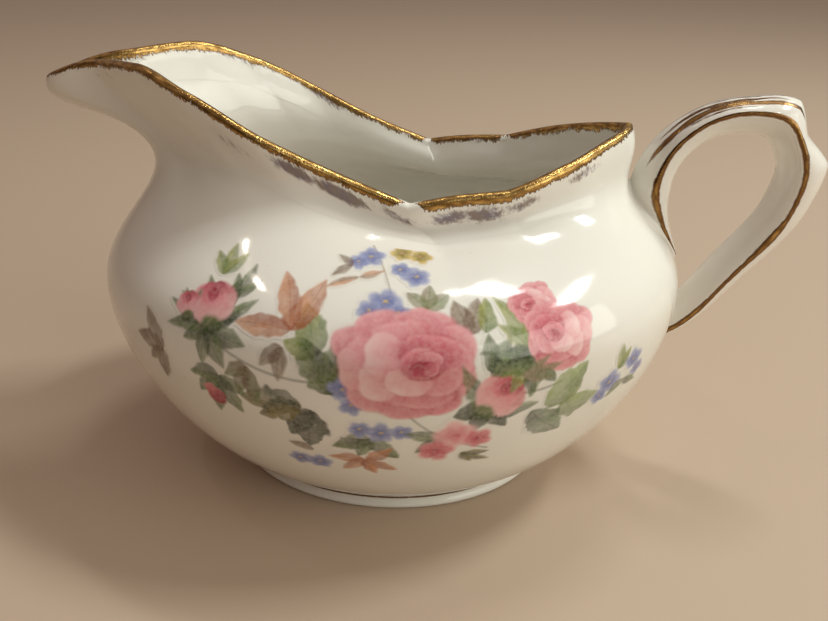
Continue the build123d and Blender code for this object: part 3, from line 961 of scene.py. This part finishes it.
    def small_flower(self, angle, t, size, count=5, turn=0.3, light=BLUE, deep=BLUE_DEEP, eye=YELLOW):
        """A little round-petalled flower with a small pale eye."""
        x, y = self.local(angle, t)
        for k in range(count):
            where = turn + 2 * math.pi * k / count
            far = size * (0.56 + 0.10 * math.sin(5 * k + angle))
            middle = (far * math.cos(where), far * math.sin(where) * 0.9)
            self.petal(x, y, middle, (size * 0.50, size * 0.44), where, light, deep,
                       (math.cos(where), math.sin(where)), 0.45)
        self.petal(x, y, (0, 0), (size * 0.17, size * 0.17), 0, eye, deep, (0, 1), 0.5)

    def bud(self, angle, t, size, turn, sepals):
        """A half-open bud in a cup of sepals; turn is the way it points."""
        x, y = self.local(angle, t)
        tip = np.array([math.cos(turn), math.sin(turn)])
        side = np.array([-tip[1], tip[0]])
        for k in range(sepals):
            spread = turn + (k - (sepals - 1) / 2) * 0.62
            self.leaf(x, y, -tip * size * 0.75, spread, size * 1.75, size * 0.26)
        for along, across, big, light, deep in (
                (0.05, 0.26, 0.62, PINK_PALE, PINK), (0.05, -0.28, 0.62, PINK_PALE, PINK_DEEP),
                (-0.10, 0.0, 0.66, PINK_PALE, PINK), (0.34, 0.14, 0.40, PINK, PINK_DEEP),
                (0.42, -0.12, 0.34, PINK, PINK_HEART), (0.28, 0.02, 0.24, PINK_DEEP, PINK_HEART)):
            middle = tip * size * along + side * size * across
            self.petal(x, y, middle, (size * big, size * big * 0.85), turn, light, deep,
                       tuple(-tip + side * across), 0.14)
        cup = (size * 0.30, size * 0.40)
        self.petal(x, y, -tip * size * 0.70, cup, turn, GREEN, GREEN_DARK, tuple(tip), 0.3)

    def leaves(self, angle, t, fan, **colours):
        """A fan of leaves from one place: turn in degrees, length, half width for each."""
        x, y = self.local(angle, t)
        for turn, length, width in fan:
            self.leaf(x, y, (0, 0), math.radians(turn), length, width, **colours)

    def piece(self):
        """The painted patch as a mesh, without what nothing was painted on."""
        rows, columns = self.cover.shape
        painted = self.cover > 0.012
        index = -np.ones((rows, columns), int)
        face = painted[:-1, :-1] | painted[:-1, 1:] | painted[1:, 1:] | painted[1:, :-1]
        used = np.zeros((rows, columns), bool)
        used[:-1, :-1] |= face
        used[:-1, 1:] |= face
        used[1:, 1:] |= face
        used[1:, :-1] |= face
        index[used] = np.arange(used.sum())
        r, c = np.nonzero(face)
        faces = np.stack([index[r, c], index[r, c + 1], index[r + 1, c + 1], index[r + 1, c]], -1)
        piece = smooth_piece(self.name, in_metres(self.place[used]).tolist(), faces.tolist())
        stamp_values(piece, "paint", np.concatenate([self.colour[used], self.cover[used][:, None]], 1))
        return piece


def front_spray():
    """Large rose with buds, forget-me-nots and mixed leaves, trailing to both sides."""
    spray = Spray("front_spray", FRONT_FLOWERS)
    # stems that tie the groups together
    x, y = spray.local(277.8, 0.42)
    spray.stem(x, y, [(-9, -2), (-18, -4), (-27, 2)], 0.3)
    spray.stem(x, y, [(7, -2), (15, -6), (22, -3)], 0.3)
    spray.stem(x, y, [(10, 2), (17, 2), (20, 5)], 0.35)
    spray.stem(x, y, [(-2, 8), (-3, 12), (-5, 15)], 0.22, GREY_LEAF)
    spray.stem(x, y, [(0, -7), (4, -12), (12, -14)], 0.25)
    # leaves round the large rose
    spray.leaves(263, 0.43, [(100, 7.5, 2.3), (150, 5, 1.6)], **YELLOW_GREEN)
    spray.leaves(265.5, 0.375, [(110, 8.5, 2.6), (75, 7.5, 2.6), (50, 8, 2.2)],
                 light=GREEN, deep=BLACK_GREEN)
    spray.leaves(262.5, 0.345, [(250, 8, 2.8), (225, 7, 2.2)], **DARK)
    spray.leaves(260.5, 0.35, [(172, 9.5, 2.6), (195, 7.5, 2.2)], **OLIVE_LEAF)
    spray.leaves(272, 0.30, [(195, 6.5, 1.8), (235, 5, 1.4), (300, 6, 1.7)])
    spray.leaves(287.5, 0.47, [(60, 6, 1.7), (95, 5.5, 1.5)], **FADED)
    spray.leaves(290.5, 0.47, [(72, 5.5, 1.4)], **YELLOW_GREEN)
    spray.leaves(281, 0.515, [(70, 4.5, 1.2), (120, 4, 1.2), (30, 4.5, 1.3)],
                 light=GREY_LEAF, deep=GREEN)
    spray.leaves(291, 0.41, [(45, 5.5, 1.5), (15, 6, 1.6), (80, 5, 1.4), (-20, 5, 1.3)])
    # russet fan and its faint neighbours
    spray.leaves(258.5, 0.465, [(62, 9, 1.9), (100, 9.5, 1.7), (168, 8.5, 1.8)], **RUSSET_LEAF)
    spray.leaves(257.5, 0.44, [(215, 4.5, 1.3), (255, 5, 1.3)], **FADED)
    # brown leaves at the far left
    spray.leaves(232.5, 0.385, [(118, 6.8, 1.5), (165, 6.5, 1.9), (250, 5.8, 1.5), (208, 5, 1.2)], **FADED)
    # left bud with its foliage
    spray.leaves(243.5, 0.445, [(60, 7, 1.5), (35, 6, 1.3), (120, 6.5, 1.4), (150, 5, 1.2),
                                (200, 5, 1.3), (-20, 6.5, 1.5), (250, 5.5, 1.5), (290, 6, 1.6)])
    spray.leaves(242, 0.53, [(80, 5.5, 1.1), (112, 4.5, 1), (50, 5, 1)], **YELLOW_GREEN)
    spray.leaves(246.5, 0.50, [(70, 6, 1), (40, 4.5, 0.9), (95, 4, 0.9)])
    spray.bud(242.5, 0.482, 4.6, math.radians(105), 5)
    spray.bud(237.4, 0.470, 2.6, math.radians(110), 3)
    # red bud under it
    spray.leaves(245.5, 0.375, [(250, 7.5, 1.8), (285, 7, 1.7), (215, 6, 1.5), (180, 5.5, 1.5),
                                (320, 5, 1.3)])
    spray.leaves(251.5, 0.40, [(240, 5.5, 1.4), (270, 6.5, 1.5), (200, 4.5, 1.3)],
                 light=GREEN, deep=BROWN)
    x, y = spray.local(244, 0.335)
    spray.petal(x, y, (0, 0), (1.7, 1.5), 0.5, PINK_DEEP, PINK_HEART, (-0.4, 1))
    spray.petal(x, y, (-0.9, 1.3), (1.1, 1), 0.2, PINK, PINK_DEEP, (-0.4, 1))
    # blue flowers
    for angle, t, size, turn in (
            (272.2, 0.628, 1.9, 0.2), (269.6, 0.612, 1.5, 0.9), (280.2, 0.583, 2, 0.5),
            (277.4, 0.60, 1.5, 1.1), (274.2, 0.527, 2.3, 0.1), (271.3, 0.510, 1.8, 0.8),
            (276.2, 0.508, 1.7, 1.4), (267.6, 0.385, 1.9, 0.4), (268.8, 0.36, 1.7, 1.2),
            (273.6, 0.312, 2.1, 0.3), (270, 0.318, 1.7, 0.9), (277, 0.315, 1.6, 0.6),
            (317, 0.345, 2.2, 0.2), (315.2, 0.325, 1.6, 0.8), (323, 0.37, 1.9, 0.5),
            (325.5, 0.35, 1.5, 1), (257.5, 0.235, 1.8, 0.7), (261.6, 0.232, 1.9, 0.2)):
        spray.small_flower(angle, t, size, turn=turn)
    spray.leaves(318.5, 0.365, [(80, 4.5, 1), (50, 4, 0.9)], **YELLOW_GREEN)
    spray.leaves(321.5, 0.34, [(215, 4, 1), (-30, 4.5, 1)])
    spray.leaves(268.3, 0.60, [(200, 3.5, 0.8), (120, 3, 0.7)], **FADED)
    spray.leaves(269.5, 0.575, [(190, 5, 0.7), (10, 4, 0.7)], light=ORANGE, deep=GREY_LEAF)
    # yellow flowers
    spray.small_flower(278.6, 0.65, 1.7, turn=0.4, light=YELLOW, deep=OLIVE, eye=ORANGE)
    spray.small_flower(282.2, 0.645, 1.6, turn=0.9, light=YELLOW, deep=OLIVE, eye=ORANGE)
    # the large rose
    spray.rose(277.6, 0.418, (9.6, 7.7))
    # bud to its right with dark foliage
    spray.leaves(291, 0.355, [(190, 5, 1.6), (245, 5, 1.6), (300, 5.5, 1.6), (350, 5, 1.3)], **DARK)
    spray.bud(293, 0.370, 5, math.radians(50), 4)
    # roses at the upper right
    spray.leaves(299, 0.43, [(110, 9, 1.5), (130, 6.5, 1.3), (90, 7.5, 1.4), (200, 6, 1.5),
                             (230, 6.5, 1.6)], **YELLOW_GREEN)
    spray.leaves(299.5, 0.42, [(160, 6, 1.6), (185, 7, 1.5), (255, 6, 1.5), (300, 5, 1.3)])
    spray.rose(300.4, 0.512, (3.8, 3.3), mirror=-1, turn=0.5)
    spray.rose(304.2, 0.452, (5.3, 5), mirror=-1)
    # little pinks at the bottom
    spray.leaves(284, 0.30, [(160, 5.5, 1.3), (215, 5, 1.2), (250, 4.5, 1.1), (20, 4.5, 1.2)])
    spray.small_flower(286.6, 0.305, 3.1, light=PINK_PALE, deep=PINK, turn=0.6, eye=PINK_DEEP)
    spray.small_flower(283.2, 0.275, 2.6, light=PINK, deep=PINK_DEEP, turn=0.1, eye=PINK_HEART)
    spray.small_flower(290.4, 0.295, 2.1, light=PINK, deep=PINK_DEEP, turn=0.9, eye=PINK_HEART)
    spray.leaves(288, 0.265, [(-35, 5.5, 0.8), (-60, 3.5, 0.7), (-10, 4.5, 0.8)], **OLIVE_LEAF)
    # leaves at the lower right
    spray.leaves(302, 0.34, [(38, 9, 2.6)], **LEAF_GREEN)
    spray.leaves(305, 0.325, [(5, 7.5, 2.4)], **LEAF_GREEN)
    spray.leaves(299.5, 0.335, [(-50, 8.5, 2.8)], light=linear(112, 138, 98), deep=GREEN_DARK)
    spray.leaves(296.5, 0.40, [(0, 6.5, 0.8), (-20, 5.5, 0.8), (20, 5, 0.7)],
                 light=GREEN, deep=GREY_LEAF)
    # russet leaves at the bottom
    spray.leaves(270.5, 0.25, [(30, 5.5, 1.2), (170, 5.5, 1.2), (215, 5, 1.2), (320, 5.5, 1.2),
                               (280, 4.5, 1.1)], **RUSSET_LEAF)
    spray.leaves(261, 0.262, [(150, 4, 1)], **FADED)
    return spray.piece()


def back_spray():
    """Smaller rose with two buds and a few forget-me-nots."""
    spray = Spray("back_spray", BACK_FLOWERS, 0.2)
    x, y = spray.local(90, 0.40)
    spray.stem(x, y, [(7, -1), (13, -4), (18, 1)], 0.3)
    spray.stem(x, y, [(-6, 0), (-11, 3), (-17, 1)], 0.3)
    spray.leaves(95.5, 0.40, [(150, 9, 2.5), (195, 9, 2.5), (225, 8.5, 2.3), (120, 7.5, 2)])
    spray.leaves(84.5, 0.40, [(45, 8, 2.2), (5, 8.5, 2.3), (-45, 9, 2.4)], **YELLOW_GREEN)
    spray.leaves(91, 0.475, [(60, 7.5, 1.7), (95, 8, 1.8), (130, 7, 1.6)], **RUSSET_LEAF)
    spray.leaves(93, 0.31, [(215, 7, 1.9), (250, 6.5, 1.8), (300, 7.5, 1.9)], **DARK)
    for angle, t, size in ((98.5, 0.525, 2.2), (96, 0.545, 1.8), (82.5, 0.29, 2.1), (80, 0.315, 1.8),
                           (104, 0.315, 2), (101.5, 0.295, 1.7), (82, 0.515, 2)):
        spray.small_flower(angle, t, size)
    spray.rose(90, 0.40, (8.4, 7.4), mirror=-1, turn=0.3)
    spray.bud(73, 0.415, 4.2, math.radians(40), 5)
    spray.bud(108, 0.43, 3.8, math.radians(140), 5)
    return spray.piece()


# ---- stage ----
def floor():
    size, height = 3.0, -0.0002
    mesh = bpy.data.meshes.new("floor")
    corners = [(-size, -size), (size, -size), (size, size), (-size, size)]
    mesh.from_pydata([(x, y, height) for x, y in corners], [], [(0, 1, 2, 3)])
    plate = placed("floor", mesh)
    nodes = Nodes("floor")
    nodes.set(base=rgba(linear(196, 174, 152)), rough=0.6)
    mesh.materials.append(nodes.material)


def light(name, target, way, distance, size, power, colour):
    """Soft rectangular light seen from a target along a way, in millimetres."""
    lamp = bpy.data.lights.new(name, "AREA")
    lamp.shape = "RECTANGLE"
    lamp.size, lamp.size_y = size[0] * MM, size[1] * MM
    lamp.energy = power
    lamp.color = colour
    holder = placed(name, lamp)
    way = Vector(way).normalized()
    holder.location = (Vector(target) + Vector(CENTRE) + way * distance) * MM
    holder.rotation_euler = way.to_track_quat("Z", "Y").to_euler()


def surroundings():
    """Warm walls, dimmer in front of the jug and below it than overhead."""
    world = bpy.data.worlds.new("studio")
    world.use_nodes = True
    nodes, links = world.node_tree.nodes, world.node_tree.links
    way = nodes.new("ShaderNodeTexCoord").outputs["Generated"]
    parts = nodes.new("ShaderNodeSeparateXYZ")
    links.new(way, parts.inputs[0])
    level = None
    for output, ends, range_of in (("Z", (-0.2, 0.9), (0.15, 0.38)), ("Y", (-0.9, 0.2), (0.35, 1.0)),
                                   ("X", (-0.9, 0.5), (0.98, 1.20))):
        ramp = nodes.new("ShaderNodeMapRange")
        links.new(parts.outputs[output], ramp.inputs["Value"])
        ramp.inputs["From Min"].default_value, ramp.inputs["From Max"].default_value = ends
        ramp.inputs["To Min"].default_value, ramp.inputs["To Max"].default_value = range_of
        product = nodes.new("ShaderNodeMath")
        product.operation = "MULTIPLY"
        links.new(ramp.outputs[0], product.inputs[0])
        product.inputs[1].default_value = 1.0
        if level is not None:
            links.new(level, product.inputs[1])
        level = product.outputs[0]
    tint = nodes.new("ShaderNodeMix")
    tint.data_type = "RGBA"
    side = nodes.new("ShaderNodeMapRange")
    links.new(parts.outputs["X"], side.inputs["Value"])
    side.inputs["From Min"].default_value, side.inputs["From Max"].default_value = -0.7, 0.7
    links.new(side.outputs[0], tint.inputs[0])
    shades = [socket for socket in tint.inputs if socket.type == "RGBA"]
    shades[0].default_value = (1.0, 0.74, 0.64, 1)
    shades[1].default_value = (1.0, 0.93, 0.80, 1)
    back = nodes["Background"]
    links.new(tint.outputs[2], back.inputs["Color"])
    links.new(level, back.inputs["Strength"])
    bpy.context.scene.world = world


def studio():
    surroundings()
    middle = (0, 0, 35)
    light("window", middle, (0.57, 0.106, 0.80), 700, (150, 60), 1.9, (0.94, 1.0, 0.96))
    light("window_top", middle, (0.206, 0.273, 0.94), 700, (170, 50), 0.8, (0.96, 1.0, 0.96))
    light("lamp_left", middle, (-0.45, -0.03, 0.89), 650, (12, 12), 0.10, (1.0, 0.90, 0.78))
    light("side", middle, (0.80, -0.45, 0.40), 900, (800, 600), 3.7, (1.0, 1.0, 0.91))
    bpy.context.scene.view_settings.view_transform = "Standard"


def camera():
    """Standing a little right of the middle, looking down on the bowl."""
    yaw, pitch, roll = math.radians(4.596), math.radians(26.49), math.radians(1.065)
    turn = Matrix.Rotation(yaw, 3, "Z")
    forward = turn @ Vector((0, math.cos(pitch), -math.sin(pitch)))
    level = turn @ Vector((1, 0, 0))
    head = turn @ Vector((0, math.sin(pitch), math.cos(pitch)))
    right = level * math.cos(roll) + head * math.sin(roll)
    up = head * math.cos(roll) - level * math.sin(roll)
    data = bpy.data.cameras.new("camera")
    data.lens, data.sensor_width = 34.78, 36.0
    data.clip_start = 0.005
    holder = placed("camera", data)
    axes = Matrix((right, up, -forward)).transposed().to_4x4()
    holder.matrix_world = Matrix.Translation(Vector((8.72, -132.8, 93.1)) * MM) @ axes
    bpy.context.scene.camera = holder


# ---- assembly ----
china = porcelain()
finish_piece(body_piece(), "jug_body", china)
body_tree = outer_tree()
finish_piece(foot_piece(), "foot_ring", china)
strap = finish_piece(handle_piece(body_tree), "handle", china)
strap_tree = tree_of(strap)
upper = fillet_piece("upper_joint", body_tree, strap_tree, UPPER_SPAN, UPPER_FILLET)
lower = fillet_piece("lower_joint", body_tree, strap_tree, LOWER_SPAN, LOWER_FILLET)
finish_piece(upper, "upper_joint_slip", china)
finish_piece(lower, "lower_joint_slip", china)
finish_piece(rim_gold(), "rim_gilding", gilding("rim gold", 0.85, (3.6, 0.9, 1.0)))
# line and brushed gold take the strongest painted dark reflection in their colour
line_gold = gilding("line gold", 0.10, (0.9, 1.6, 1.0), dark=1.0)
finish_piece(foot_gold(), "foot_gilding", line_gold)
finish_piece(edge_gold("gilt_edge_front", -1, body_tree), "handle_edge_gilding_front", line_gold)
finish_piece(edge_gold("gilt_edge_back", 1, body_tree), "handle_edge_gilding_back", line_gold)
brushed = gilding("brushed gold", 0.16, (0.35, 3.2, 1.0), dark=1.0)
finish_piece(crest_gold(), "handle_crest_gilding", brushed)
fired = transfer_colours()
finish_piece(front_spray(), "front_flower_transfer", fired)
finish_piece(back_spray(), "back_flower_transfer", fired)
floor()
studio()
camera()
